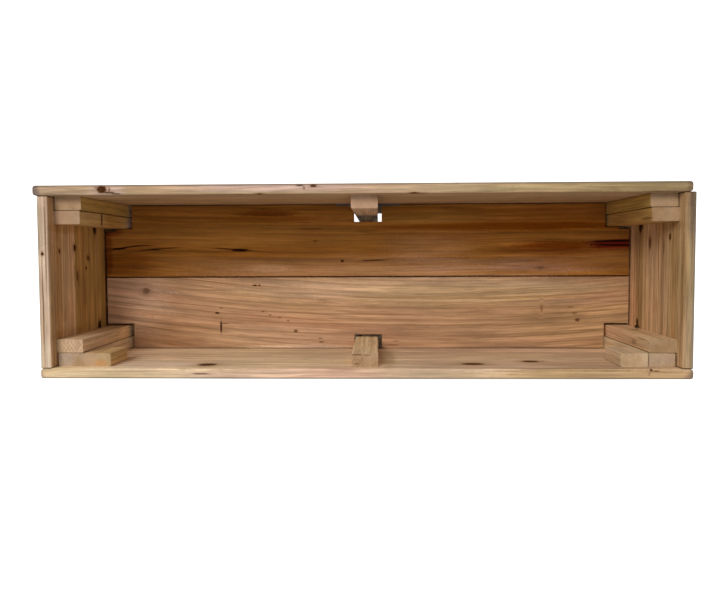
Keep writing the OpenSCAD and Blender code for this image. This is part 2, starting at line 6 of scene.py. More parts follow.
import bpy
from mathutils import Matrix, Vector


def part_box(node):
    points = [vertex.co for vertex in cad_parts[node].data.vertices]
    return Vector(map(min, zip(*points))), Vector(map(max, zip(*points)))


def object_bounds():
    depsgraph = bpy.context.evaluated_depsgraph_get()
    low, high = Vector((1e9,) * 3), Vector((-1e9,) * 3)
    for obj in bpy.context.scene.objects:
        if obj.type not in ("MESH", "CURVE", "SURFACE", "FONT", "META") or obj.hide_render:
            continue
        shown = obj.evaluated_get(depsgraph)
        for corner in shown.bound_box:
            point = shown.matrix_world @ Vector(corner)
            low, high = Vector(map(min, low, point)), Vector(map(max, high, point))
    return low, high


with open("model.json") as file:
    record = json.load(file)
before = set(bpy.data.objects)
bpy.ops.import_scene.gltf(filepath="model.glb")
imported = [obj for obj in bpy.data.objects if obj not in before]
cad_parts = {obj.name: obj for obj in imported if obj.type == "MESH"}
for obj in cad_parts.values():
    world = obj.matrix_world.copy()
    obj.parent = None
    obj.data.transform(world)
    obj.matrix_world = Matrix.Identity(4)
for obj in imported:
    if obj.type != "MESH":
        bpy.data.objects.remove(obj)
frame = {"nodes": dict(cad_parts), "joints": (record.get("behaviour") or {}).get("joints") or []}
cad_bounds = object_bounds()
nodes = frame["nodes"]
MM = 0.001
AXES = {"x": 0, "y": 1, "z": 2}

# The photograph, in pixels: its size, its camera's focal length and how far down its optical axis lies
PHOTO_W, PHOTO_H = 722, 610
FOCAL_PX = 625.3
AXIS_PX_Y = 281.4
# The camera's place above the box, its small turns about X, Y and Z, and its sensor's width in mm
CAMERA_AT = Vector((29.0, 48.2, 1615.8)) * MM
CAMERA_TURN = (-0.0467, 0.0274, -0.0028)
SENSOR_W = 36.0

# Light: the sky's strength, the sun's strength, spread, colour and side
SKY = 0.50
SUN = 1.9
SUN_SPREAD = math.radians(28)
SUN_COLOUR = (1.0, 0.975, 0.94)
SUN_FROM = Vector((-0.38, 0.55, 1.0)).normalized()
# The ground: its size in metres, its grey and how much it glows where the camera sees it
GROUND_SIZE = 12.0
GROUND_GREY = 0.80
GROUND_GLOW = 0.75

# Places on the box that the patterns refer to, in metres, all from the CAD model
outer_x, outer_y, _ = cad_bounds[1]
rim_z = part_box("front_wall_board_1")[1].z
course_h = rim_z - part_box("front_wall_board_1")[0].z
floor_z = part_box("front_floor_board")[1].z

# How the timber's layers of noise are stretched: cells per metre along the grain and across it
STRAY_CELLS = (1.3, 5.0)
RIPPLE_CELLS = (7.0, 60.0)
BAND_CELLS = (1.0, 17.0)
STREAK_CELLS = (3.4, 95.0)
FINE_CELLS = (14.0, 420.0)
FIBRE_CELLS = (45.0, 1300.0)
CLOUD_CELLS = (7.0, 16.0)
VEIN_CELLS = (1.7, 42.0)
HUE_CELLS = (2.0, 13.0)
CHECK_CELLS = (17.0, 560.0)

# How far along, across and through the log each board's own cut may lie, in metres
LOG_REACH = (9.0, 0.9, 0.7)
# The space between two seeds in the noise that chooses those places
SEED_STEP = 7.31

# How fast saw marks repeat, in radians a metre
SAW_WAVES = 1000.0

# Where a wheel's nylon gives way to its rubber tread: distances from its axle, in mm
TREAD_EDGE = (16.2, 16.6)

# Colours of what lies on the wood or stains it, and of painted shade: dirt and painted shade in the joints,
# and painted shade along the rim's outer edges
JOINT_DIRT_AND_SHADE = (0.060, 0.017, 0.005)
WEATHERED = (0.20, 0.155, 0.115)
EDGE_SHADE_COLOUR = (0.16, 0.125, 0.09)
KNOT_STAIN = (0.66, 0.52, 0.38)
CRACK_STAIN = (0.58, 0.42, 0.28)


class Shader:
    """A material's node tree, with short calls for the nodes that the patterns use."""

    def __init__(self, name):
        self.material = bpy.data.materials.new(name)
        self.material.use_nodes = True
        self.tree = self.material.node_tree
        self.tree.nodes.clear()

    def node(self, kind, *values, **settings):
        """A new node with its settings, and with values for its first inputs."""
        made = self.tree.nodes.new("ShaderNode" + kind)
        for key, value in settings.items():
            setattr(made, key, value)
        for socket, value in zip(made.inputs, values):
            self.put(socket, value)
        return made

    def put(self, socket, value):
        """Links an input to another node's output, or sets it to a plain value."""
        if isinstance(value, bpy.types.NodeSocket):
            self.tree.links.new(value, socket)
        elif value is not None:
            socket.default_value = value

    def math(self, operation, a, b=None, c=None):
        return self.node("Math", a, b, c, operation=operation).outputs[0]

    def add(self, a, b):
        return self.math("ADD", a, b)

    def sub(self, a, b):
        return self.math("SUBTRACT", a, b)

    def mul(self, a, b):
        return self.math("MULTIPLY", a, b)

    def mul_add(self, a, b, c):
        return self.math("MULTIPLY_ADD", a, b, c)

    def absolute(self, value):
        return self.math("ABSOLUTE", value)

    def vector(self, operation, a, b=None):
        made = self.node("VectorMath", a, b, operation=operation)
        return made.outputs["Value" if operation == "LENGTH" else "Vector"]

    def combine(self, x, y, z):
        return self.node("CombineXYZ", x, y, z).outputs[0]

    def noise(self, at, detail, roughness, distortion=0.0):
        """Noise with one cell a unit."""
        made = self.node("TexNoise", noise_dimensions="3D")
        for key, value in (("Vector", at), ("Scale", 1.0), ("Detail", detail), ("Roughness", roughness),
                           ("Distortion", distortion)):
            self.put(made.inputs[key], value)
        return made.outputs[0]

    def speckle(self, cells, detail, roughness, distortion=0.0):
        """Noise with the given cells per metre, the same in every direction or one number for each axis."""
        scale = cells if isinstance(cells, tuple) else (cells, cells, cells)
        return self.noise(self.vector("MULTIPLY", self.at, scale), detail, roughness, distortion)

    def step(self, value, low, high, to_low=0.0, to_high=1.0):
        """A number eased from to_low to to_high as value goes from low to high."""
        made = self.node("MapRange", interpolation_type="SMOOTHSTEP")
        for key, entry in (("Value", value), ("From Min", low), ("From Max", high), ("To Min", to_low),
                           ("To Max", to_high)):
            self.put(made.inputs[key], entry)
        return made.outputs[0]

    def mix(self, share, a, b, blend="MIX"):
        made = self.node("Mix", data_type="RGBA", blend_type=blend, clamp_factor=True)
        self.put(made.inputs[0], share)
        for socket, value in ((made.inputs[6], a), (made.inputs[7], b)):
            self.put(socket, (*value, 1.0) if isinstance(value, tuple) else value)
        return made.outputs[2]

    def tint(self, share, colour, factors):
        """The colour times the factors, as far as share says."""
        return self.mix(share, colour, factors, "MULTIPLY")

    def scaled(self, colour, share):
        """A colour times a number."""
        return self.mix(1.0, colour, self.combine(share, share, share), "MULTIPLY")

    def place(self):
        """Sets at, the point's place in the box's frame in metres, and parts, its three numbers."""
        self.at = self.node("TexCoord").outputs["Object"]
        self.parts = self.node("SeparateXYZ", self.at).outputs

    def finish(self, colour, roughness, height, depth, specular, metallic=0.0):
        """The finished material. height is its relief, and depth how deep one unit of that is, in mm."""
        shader = self.node("BsdfPrincipled")
        bump = self.node("Bump")
        for key, value in (("Base Color", colour), ("Roughness", roughness), ("Metallic", metallic),
                           ("Specular IOR Level", specular), ("Normal", bump.outputs[0])):
            self.put(shader.inputs[key], value)
        for key, value in (("Strength", 1.0), ("Distance", depth * MM), ("Height", height)):
            self.put(bump.inputs[key], value)
        out = self.node("OutputMaterial")
        self.tree.links.new(shader.outputs[0], out.inputs["Surface"])
        return self.material


class Timber(Shader):
    """The node tree of softwood: u runs along its grain, v across the board and w through it.

    grain and across are the axes of u and v. With courses, one tree serves a whole wall, and each course is a
    board of its own. Each board is cut from its own place in a log, which seed chooses. contrast says how far
    the tone swings.
    """

    def __init__(self, name, node, grain, across, seed, courses, contrast):
        super().__init__(name)
        self.place()
        self.contrast = contrast
        self.along, self.over = AXES[grain], AXES[across]
        self.through = 3 - self.along - self.over
        self.u, self.v, self.w = (self.parts[axis] for axis in (self.along, self.over, self.through))
        self.normal = self.node("SeparateXYZ", self.node("NewGeometry").outputs["True Normal"]).outputs
        self.end_grain = self.step(self.absolute(self.normal[self.along]), 0.6, 0.9)
        self.calm = self.mul_add(self.end_grain, -0.6, 1.0)

        corner, far_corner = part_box(node)
        self.middle = (corner + far_corner) / 2
        self.v_middle = self.middle[self.over]
        # inside_box is nought on a wall's outer face, which keeps clear of the inside's course tones and of
        # the joints' dirt and painted shade, and else one
        self.inside_box = 1.0
        self.board = 0.0
        if courses:
            outer = max(abs(corner[self.through]), abs(far_corner[self.through]))
            self.inside_box = self.step(self.absolute(self.w), outer - 3 * MM, outer - MM, 1.0, 0.0)
            self.board = self.math("FLOOR", self.math("DIVIDE", self.sub(rim_z, self.v), course_h))
            self.v_middle = self.sub(rim_z - 0.5 * course_h, self.mul(self.board, course_h))

        cut = self.node("TexWhiteNoise", noise_dimensions="1D")
        self.put(cut.inputs["W"], self.add(self.board, seed * SEED_STEP))
        self.shift = self.node("SeparateXYZ", cut.outputs["Color"]).outputs
        self.u_log = self.add(self.u, self.mul(self.shift[0], LOG_REACH[0]))
        self.w_log = self.add(self.w, self.mul(self.shift[2], LOG_REACH[2]))
        self.coarse = self.sub(self.speckle(160.0, 3.0, 0.6), 0.5)

    def far_from(self, centre, radii, place=None):
        """How far a point is from a centre, in units of the radii, both in mm."""
        away = self.vector("SUBTRACT", self.at if place is None else place, tuple(c * MM for c in centre))
        return self.vector("LENGTH", self.vector("DIVIDE", away, tuple(r * MM for r in radii)))

    def lay_grain(self, bow, marks):
        """Bends the grain by the bow and round knots. Each mark's kind, distance and strength come back."""
        start, bend = bow
        squared = self.math("POWER", self.sub(self.u, start * MM), 2.0)
        self.v_face = self.sub(self.v, self.mul(squared, bend / MM))
        spots = []
        for kind, centre, radii, strength, *lean in marks:
            slope, curve = (*lean, 0.0, 0.0)[:2]
            place = self.at
            if slope or curve:
                off = self.sub(self.u, centre[self.along] * MM)
                lift = [0.0, 0.0, 0.0]
                lift[self.over] = self.mul(off, self.mul_add(off, curve / MM, slope))
                place = self.vector("SUBTRACT", self.at, self.combine(*lift))
            far = self.far_from(centre, radii, place)
            spots.append((kind, far, strength))
            if kind == "knot":
                pull = self.step(far, 0.0, 4.0, 0.75, 0.0)
                push = self.mul(self.sub(self.v, centre[self.over] * MM), pull)
                self.v_face = self.sub(self.v_face, push)
        self.v_log = self.add(self.v_face, self.mul(self.shift[1], LOG_REACH[1]))
        return spots

    def stretched(self, cells, detail, roughness, distortion=0.0):
        """Noise that is drawn out along the grain."""
        along, across = cells
        return self.noise(self.combine(self.mul(self.u_log, along), self.mul(self.v_log, across),
                                       self.mul(self.w_log, across)), detail, roughness, distortion)

    def stray(self, cells, roughness, reach):
        """Stretched noise, centred on nought, times its reach in mm."""
        return self.mul(self.sub(self.stretched(cells, 2.0, roughness), 0.5), reach * MM)

    def late_wood(self, ring, pith, wander):
        """Each ring's darker edge, from nought to one, about a pith that lies beside the board and strays."""
        beside, below = pith
        side = self.sub(self.v_face, self.v_middle)
        side = self.add(side, self.mul_add(self.shift[1], 0.6 * beside * MM, 0.7 * beside * MM))
        wide = self.stray(STRAY_CELLS, 0.5, 6 * wander)
        ripple = self.stray(RIPPLE_CELLS, 0.55, 3.5)
        side = self.add(side, self.add(wide, ripple))
        low = self.add(self.sub(self.w, self.middle[self.through]), below * MM)
        radius = self.math("SQRT", self.add(self.math("POWER", side, 2.0), self.math("POWER", low, 2.0)))
        seasons = self.noise(self.combine(self.mul(radius, 95.0), self.shift[0], 0.0), 2.0, 0.6)
        turn = self.math("FRACT", self.add(self.math("DIVIDE", radius, ring * MM), self.mul(seasons, 2.2)))
        rise = self.step(turn, 0.2, 0.9)
        fall = self.step(turn, 0.90, 1.0, 1.0, 0.0)
        return self.mul(self.mul(rise, fall), self.calm)

    def veins(self, cloud):
        """Thin dark lines that come and go."""
        crossing = self.absolute(self.sub(self.stretched(VEIN_CELLS, 2.0, 0.5, 0.3), 0.5))
        line = self.step(crossing, 0.004, 0.030, 1.0, 0.0)
        return self.mul(line, self.step(cloud, 0.42, 0.60, 0.0, self.calm))

    def swung(self, colour, value, reach):
        """The colour, its tone swinging about one with a value."""
        half = reach * self.contrast
        tone = self.step(value, 0.28, 0.72, -half, 0.85 * half)
        return self.scaled(colour, self.mul_add(tone, self.calm, 1.0))

    def in_hues(self, colour):
        """Warmer and greener stretches."""
        hue = self.stretched(HUE_CELLS, 2.0, 0.5)
        colour = self.tint(self.step(hue, 0.52, 0.68), colour, (1.04, 0.97, 0.98))
        return self.tint(self.step(hue, 0.48, 0.32), colour, (0.97, 1.00, 0.90))

    def by_course(self, colour, tones):
        """The tones of a wall's courses, from the top one down, on its inner face."""
        for course, tone in enumerate(tones):
            share = self.math("COMPARE", self.board, float(course), 0.5)
            colour = self.tint(self.mul(share, self.inside_box), colour, tone)
        return colour

    def with_pores(self, colour):
        """End grain drinks more and shows its pores."""
        pores = self.step(self.speckle(1100.0, 1.0, 0.5), 0.3, 0.7, 0.88, 1.04)
        return self.mix(self.mul(self.end_grain, 0.5), colour, self.scaled(colour, pores))

    def tinted_patches(self, colour, tints, streak):
        """Stains and pale places, some of them painted light or painted shade, with edges that follow the
        streaks.
        """
        ragged = self.add(self.mul(self.coarse, 0.5), self.mul(self.sub(streak, 0.5), 1.1))
        for centre, radii, factors in tints:
            far = self.add(self.far_from(centre, radii), ragged)
            colour = self.tint(self.step(far, 0.45, 1.15, 1.0, 0.0), colour, factors)
        return colour

    def blemished(self, colour, spots, deep):
        """Knots with dark rims, dark rings and cracks. The colour and the share that they cover come back."""
        ragged = self.mul(self.sub(self.speckle(520.0, 2.0, 0.6), 0.5), 0.9)
        dark, core = (tuple(c * f for c, f in zip(deep, shares))
                      for shares in ((0.15, 0.09, 0.06), (0.42, 0.26, 0.16)))
        dark_share = 0.0
        for kind, far, strength in spots:
            edge = self.add(far, ragged)
            if kind == "ring":
                band = self.absolute(self.sub(self.mul_add(ragged, 0.5, far), 1.0))
                cover = self.step(band, 0.10, 0.34, strength, 0.0)
                colour = self.mix(cover, colour, dark)
            elif kind == "knot":
                cover = self.step(edge, 0.80, 1.15, strength, 0.0)
                colour = self.tint(self.step(far, 0.9, 2.6, 0.5 * strength, 0.0), colour, KNOT_STAIN)
                rings = self.step(self.math("FRACT", self.mul(edge, 2.3)), 0.2, 0.8)
                colour = self.mix(cover, colour, self.mix(rings, dark, core))
            else:
                cover = self.step(edge, 0.70, 1.15, strength, 0.0)
                colour = self.tint(self.step(far, 0.7, 2.0, 0.4 * strength, 0.0), colour, CRACK_STAIN)
                colour = self.mix(cover, colour, dark)
            dark_share = self.math("MAXIMUM", dark_share, cover)
        return colour, dark_share

    def dirty_and_shaded_joints(self, colour, dark_share, seams):
        """Dark joint lines: dirt, and painted shade in the joints and corners. The colour and the share that
        these and the blemishes cover come back.
        """
        for axis, place, half, strength in seams:
            off = self.absolute(self.sub(self.parts[AXES[axis]], place * MM))
            share = self.mul(self.step(off, 0.5 * half * MM, 1.3 * half * MM, 1.0, 0.0),
                             self.step(self.coarse, -0.25, 0.05, 0.6 * strength, strength))
            share = self.mul(share, self.inside_box)
            colour = self.mix(share, colour, JOINT_DIRT_AND_SHADE)
            dark_share = self.math("MAXIMUM", dark_share, share)
        return colour, dark_share

    def greyed_and_edge_shaded(self, colour, dark_share, weather):
        """Grey wood on the box's outer faces, and painted shade along the rim's rounded outer edges."""
        out_x, out_y = (self.absolute(self.math("DIVIDE", part, outer - 1.5 * MM))
                        for part, outer in zip(self.parts, (outer_x, outer_y)))
        outward = self.math("MAXIMUM", out_x, out_y)
        bare = self.mul(self.step(outward, 0.980, 1.004), self.mul_add(dark_share, -weather, weather))
        blotch = self.step(self.speckle(9.0, 3.0, 0.6), 0.3, 0.7, 0.6, 1.0)
        colour = self.mix(self.mul(bare, blotch), colour, WEATHERED)
        # Painted shade: a dark line along the rim's outer edges
        near_rim = self.step(self.parts[2], rim_z - 4 * MM, rim_z - 2 * MM)
        edge_shade = self.mul(self.step(outward, 0.989, 0.999), near_rim)
        return self.mix(self.mul(edge_shade, 0.5), colour, EDGE_SHADE_COLOUR)

    def sawn(self, colour, height, areas):
        """Crossed saw marks on end grain. The colour and the relief come back."""
        for centre, radii in areas:
            kerf, back_kerf = (self.math("SINE", self.mul(self.mul_add(self.w, lean, self.v), SAW_WAVES))
                               for lean in (0.7, -0.6))
            patch = self.step(self.coarse, -0.1, 0.1)
            mark = self.add(self.mul(kerf, patch), self.mul(back_kerf, self.sub(1.0, patch)))
            near = self.step(self.far_from(centre, radii), 0.7, 1.2, 1.0, 0.0)
            mark = self.mul(mark, self.mul(self.end_grain, near))
            height = self.mul_add(mark, 0.6, height)
            colour = self.scaled(colour, self.mul_add(mark, 0.16, 1.0))
        return colour, height


def timber(name, node, grain, across, seed, pale, brown, deep, ring=6.0, pith=(70.0, 35.0), bands=0.5,
           lines=0.5, wander=6.0, bow=(0.0, 0.0), marks=(), tints=(), tones=(), seams=(),
           upright_face_light=(1.0, 1.0, 1.0), courses=False, weather=0.0, sawn=(), contrast=1.0):
    """Softwood whose grain runs along one axis, with the given colours.

    grain and across are the axes along the grain and across the board, and node gives the board's middle.
    pale, brown and deep are its early wood, its darker bands and its late-wood lines. bands and lines say how
    much of the last two shows, and contrast how far the tone swings.
    ring is the space between its rings, pith the place of their middle beside and below the board's, and
    wander how far they stray, in mm. bow bends the grain: a place along the board in mm and the bend per mm.
    marks are (kind, centre, radii, strength, slope, curve) in mm in the box's frame: a knot turns the grain
    round itself, a crack or a ring is only dark. tints are (centre, radii, colour factors); some of them are
    painted light or painted shade, as their comments say. tones are colour factors of a wall's courses, from
    the top one down. The factors of the upright faces are painted light and shade, which make those faces
    lighter or darker than the tops. seams are (axis, place, half width, strength) in mm: a dark line along a
    joint, of dirt and of painted shade in the joint and its corner. sawn is (centre, radii) in mm of crossed
    saw marks on end grain. With courses, one material serves a whole wall. weather is the share of grey wood
    on the box's outer faces.
    """
    s = Timber(name, node, grain, across, seed, courses, contrast)
    spots = s.lay_grain(bow, marks)
    late = s.late_wood(ring, pith, wander)
    streak = s.stretched(STREAK_CELLS, 4.0, 0.68)
    fine = s.stretched(FINE_CELLS, 2.0, 0.6)
    cloud = s.stretched(CLOUD_CELLS, 4.0, 0.62)

    colour = s.mix(s.step(s.stretched(BAND_CELLS, 4.0, 0.62), 0.66 - 0.32 * bands, 0.70), pale, brown)
    colour = s.mix(s.mul(late, s.step(streak, 0.25, 0.75, 0.35 * lines, 0.85 * lines)), colour, deep)
    colour = s.mix(s.mul(s.veins(cloud), 0.75 * lines), colour, deep)
    fibre = s.stretched(FIBRE_CELLS, 1.0, 0.5)
    for value, reach in ((streak, 0.27), (fine, 0.15), (fibre, 0.07), (cloud, 0.15)):
        colour = s.swung(colour, value, reach)
    colour = s.in_hues(colour)
    checks = s.step(s.stretched(CHECK_CELLS, 1.0, 0.5), 0.73, 0.79, 0.0, 0.5)
    colour = s.mix(checks, colour, tuple(0.4 * c for c in deep))
    colour = s.by_course(colour, tones)
    # Painted light and shade: the upright faces are made lighter or darker than the tops
    colour = s.tint(s.step(s.absolute(s.normal[2]), 0.85, 0.45), colour, upright_face_light)
    colour = s.with_pores(colour)
    colour = s.tinted_patches(colour, tints, streak)
    colour, dark_share = s.blemished(colour, spots, deep)
    colour, dark_share = s.dirty_and_shaded_joints(colour, dark_share, seams)
    if weather:
        colour = s.greyed_and_edge_shaded(colour, dark_share, weather)

    # Late wood stands proud, and streaks, fibres and saw marks roughen it
    height = s.add(s.add(s.mul(late, 0.35), s.mul(streak, 0.5)), s.mul(fine, 0.4))
    colour, height = s.sawn(colour, height, sawn)
    return s.finish(colour, s.step(streak, 0.2, 0.8, 0.62, 0.78), height, depth=0.35, specular=0.05)


def steel(name, tint, rough):
    """Zinc-plated or bare steel with a mottled, faintly scratched skin."""
    s = Shader(name)
    s.place()
    spangle = s.speckle(260.0, 3.0, 0.6, 0.6)
    scratches = s.speckle((900.0, 240.0, 2400.0), 2.0, 0.5)
    grime = s.step(s.speckle(75.0, 4.0, 0.6), 0.45, 0.75)
    colour = s.mix(s.step(spangle, 0.35, 0.65), tint, tuple(0.82 * c for c in tint))
    colour = s.mix(s.mul(grime, 0.35), colour, (0.16, 0.13, 0.10))
    roughness = s.add(s.step(spangle, 0.3, 0.7, rough, rough + 0.14), s.mul(grime, 0.2))
    height = s.add(s.mul(scratches, 0.12), s.mul(spangle, 0.05))
    return s.finish(colour, roughness, height, depth=0.08, metallic=0.9, specular=0.5)


def wheel_skin(name, node, axle):
    """A caster wheel: dark rubber tread round a grey nylon centre, scuffed and dusty."""
    s = Shader(name)
    s.place()
    low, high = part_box(node)
    off = s.vector("SUBTRACT", s.at, tuple((low + high) / 2))
    from_axle = s.vector("LENGTH", s.vector("CROSS_PRODUCT", off, tuple(axle)))
    tread = s.step(from_axle, TREAD_EDGE[0] * MM, TREAD_EDGE[1] * MM)
    dust = s.step(s.speckle(130.0, 4.0, 0.65), 0.4, 0.75)
    rubber = s.mix(s.mul(dust, 0.5), (0.045, 0.045, 0.048), (0.17, 0.15, 0.125))
    nylon = s.mix(s.mul(dust, 0.35), (0.30, 0.31, 0.32), (0.20, 0.18, 0.155))
    roughness = s.add(s.step(tread, 0.0, 1.0, 0.42, 0.72), s.mul(dust, 0.15))
    scuffs = s.speckle(900.0, 2.0, 0.6)
    return s.finish(s.mix(tread, nylon, rubber), roughness, scuffs, depth=0.10, specular=0.4)


def plastic(name, tint):
    """Moulded brake pedal plastic, rubbed paler where shoes touch it."""
    s = Shader(name)
    s.place()
    wear = s.step(s.speckle(160.0, 4.0, 0.6), 0.48, 0.72)
    colour = s.mix(s.mul(wear, 0.4), tint, tuple(0.6 * c + 0.10 for c in tint))
    roughness = s.step(wear, 0.0, 1.0, 0.5, 0.7)
    return s.finish(colour, roughness, s.speckle(2600.0, 1.0, 0.5), depth=0.06, specular=0.4)


def dress(node, material):
    """A CAD node's every slot takes the material."""
    slots = nodes[node].data.materials
    if not slots:
        slots.append(material)
    for slot in range(len(slots)):
        slots[slot] = material


# Heights in mm, from the CAD model: the rim, the floor and the tops of the battens below the rim.
# The walls' inner faces lie at x = -514.5 and 520.5 and at y = -143 and 143.
BATTEN_DROP = 19
rim = rim_z / MM
floor = floor_z / MM
batten_top = rim - BATTEN_DROP

# Walls. Knots, cracks and stains that the photograph shows are at their own places.
# Each wall's seams are dark joint lines: dirt, and painted shade in the corners
rear_wood = timber(
    "rear wall timber", "rear_wall_board_1", "x", "z", seed=3,
    pale=(0.60, 0.42, 0.25), brown=(0.46, 0.30, 0.15), deep=(0.24, 0.13, 0.05),
    # The upright-face factors here darken the upright faces: painted shade
    ring=5.0, bands=0.5, lines=0.5, courses=True, weather=0.6, upright_face_light=(0.90, 0.90, 0.86),
    seams=(("z", floor + 2, 2.5, 0.6),),
    tints=(
        ((-538, 152, rim), (13, 30, 30), (0.55, 0.55, 0.72)),
        ((533, 152, rim), (12, 30, 30), (0.62, 0.60, 0.62)),
        ((-415, 153, rim), (34, 12, 14), (1.16, 1.20, 1.60)),
        ((-150, 155, rim), (190, 9, 8), (1.16, 1.10, 1.40)),
        ((-500, 151, rim), (60, 12, 8), (0.92, 0.94, 1.02)),
        ((170, 150, rim), (110, 8, 8), (0.80, 0.82, 0.77)),
        ((390, 153, rim), (210, 18, 12), (0.75, 0.79, 0.68)),
        ((490, 153, rim), (140, 18, 12), (0.66, 0.65, 0.62)),
        ((0, 152, rim), (300, 20, 10), (1.04, 1.10, 1.16)),
        # Painted shade in the slit between the wall and the floor, under the floor's top
        ((7, 143, floor - 14), (100, 3, 24), (0.06, 0.012, 0.008)),
        ((0, 144, rim), (500, 2.5, 6), (0.86, 0.80, 0.74)),
    ),
    marks=(
        ("knot", (-423.4, 152.6, rim), (8, 6.4, 10), 1.0),
        ("crack", (-411, 147.4, rim), (11, 1.5, 6), 0.8),
        ("crack", (-410.5, 152.5, rim), (1.6, 3.6, 6), 0.5),
        ("crack", (-400, 145.2, rim), (9, 1.2, 6), 0.7),
        ("crack", (-432, 155.5, rim), (4, 1.2, 6), 0.5),
        ("crack", (-98, 157, rim), (7, 1.4, 5), 0.85),
        ("crack", (-91, 153, rim), (2, 3, 5), 0.5),
        ("knot", (-75.6, 156.4, rim), (5.5, 2.6, 6), 0.95),
        ("knot", (-163.8, 142.9, rim - 2), (4, 2, 4), 0.9),
        ("knot", (88, 143.2, rim - 2), (6.5, 2.2, 4), 0.95),
        ("crack", (94, 143.2, rim - 2), (16, 1.2, 4), 0.5),
    ))
front_wood = timber(
    "front wall timber", "front_wall_board_1", "x", "z", seed=11,
    pale=(0.74, 0.54, 0.345), brown=(0.60, 0.41, 0.235), deep=(0.29, 0.165, 0.075),
    # The upright-face factors here lighten the upright faces: painted light
    ring=5.5, bands=0.45, lines=0.5, courses=True, weather=0.5, upright_face_light=(1.18, 1.20, 1.22),
    seams=(("z", floor + 1, 2.0, 0.3),),
    tints=(
        ((-400, -152, rim), (170, 14, 14), (1.20, 1.20, 1.24)),
        ((-110, -152, rim), (190, 14, 14), (1.14, 1.06, 1.15)),
        ((400, -152, rim), (230, 14, 14), (0.88, 0.79, 0.66)),
        ((536, -157, rim), (12, 10, 10), (0.62, 0.60, 0.68)),
        ((-535, -158, rim), (10, 12, 12), (0.70, 0.68, 0.74)),
        ((450, -143, 560), (190, 6, 60), (0.78, 0.75, 0.70)),
        # Painted shade in the gap at the front middle batten's right foot, under the floor's top
        ((34, -143, floor - 12), (14, 3, 20), (0.2, 0.07, 0.03)),
        ((270, -143, 490), (380, 6, 260), (0.85, 0.81, 0.83)),
        # Painted shadow on the wall to the right of the front middle batten
        ((46, -143, 500), (17, 5, 120), (0.80, 0.78, 0.72)),
        ((-390, -143, 562), (140, 6, 38), (1.26, 1.30, 1.45)),
    ),
    marks=(
        ("knot", (-264, -143, 561), (17, 8, 12), 0.95),
        ("knot", (190, -143, 552), (20, 8, 10), 0.95),
        ("knot", (293, -143, 527), (15, 7, 9), 0.95),
        ("crack", (471, -144.3, rim), (2.4, 3.4, 4), 0.8),
        ("crack", (479, -146, rim), (5, 1.4, 4), 0.6),
        ("crack", (468, -151, rim), (1.6, 3.0, 4), 0.35),
        ("crack", (-265, -151.5, rim), (17, 1.5, 4), 0.6, -0.07),
        ("crack", (477, -143, 347), (10, 5, 3), 0.6),
    ))
left_wood = timber(
    "left wall timber", "left_end_board_1", "y", "z", seed=23,
    pale=(0.54, 0.39, 0.225), brown=(0.40, 0.26, 0.13), deep=(0.20, 0.11, 0.045),
    ring=6.0, bands=0.5, lines=0.6, courses=True, weather=0.4,
    tones=((1.38, 1.20, 1.12), (1.12, 0.94, 0.56), (1.36, 1.14, 0.76)),
    seams=(("z", floor, 6.0, 0.95), ("y", 143, 1.6, 0.95), ("y", -143, 1.6, 0.9)),
    tints=(
        ((-523, 0, rim), (14, 400, 7), (1.04, 1.26, 1.74)),
        ((-525, 90, rim), (12, 58, 7), (0.66, 0.68, 0.66)),
        ((-523, -130, rim), (14, 44, 7), (1.14, 1.22, 1.26)),
        # Painted shade along the foot of the wall, by the floor
        ((-514, 0, 397), (3, 400, 21), (0.68, 0.70, 0.54)),
        ((-514, 0, 590), (3, 400, 10), (0.80, 0.80, 0.75)),
        ((-514, 0, 568), (3, 400, 14), (0.74, 0.64, 0.50)),
        ((-514, 10, 513), (4, 200, 4.5), (1.30, 1.36, 1.55)),
        # The next two tints are painted shade on the wall beside the posts
        ((-514, 92, 545), (3, 12, 70), (0.84, 0.78, 0.66)),
        ((-514, -92, 545), (3, 12, 70), (0.90, 0.86, 0.80)),
    ),
    marks=(
        ("knot", (-524.6, 47.4, rim), (2.6, 3.0, 6), 1.0),
        ("crack", (-525.5, -37, rim), (1.2, 85, 5), 0.55),
        ("crack", (-519, 60, rim), (1.2, 70, 5), 0.5),
        ("knot", (-514, 58, 508), (6, 6.4, 4.6), 1.0),
        ("knot", (-514, 52, 562), (6, 4.6, 3.6), 0.8),
        ("knot", (-514, 39.5, 457), (6, 5, 5), 0.7),
        ("knot", (-514, 21, 466), (5, 3.5, 4), 0.75),
        ("knot", (-514, 7.4, 500), (5, 9, 5), 0.5),
        # The next two marks are the pocket holes beside the posts, not cracks; their dark is painted shade
        # inside the holes
        ("crack", (-514, 97, 427), (5, 15, 7.6), 0.95),
        ("crack", (-514, -96, 414.5), (5, 16, 8), 0.95),
    ))
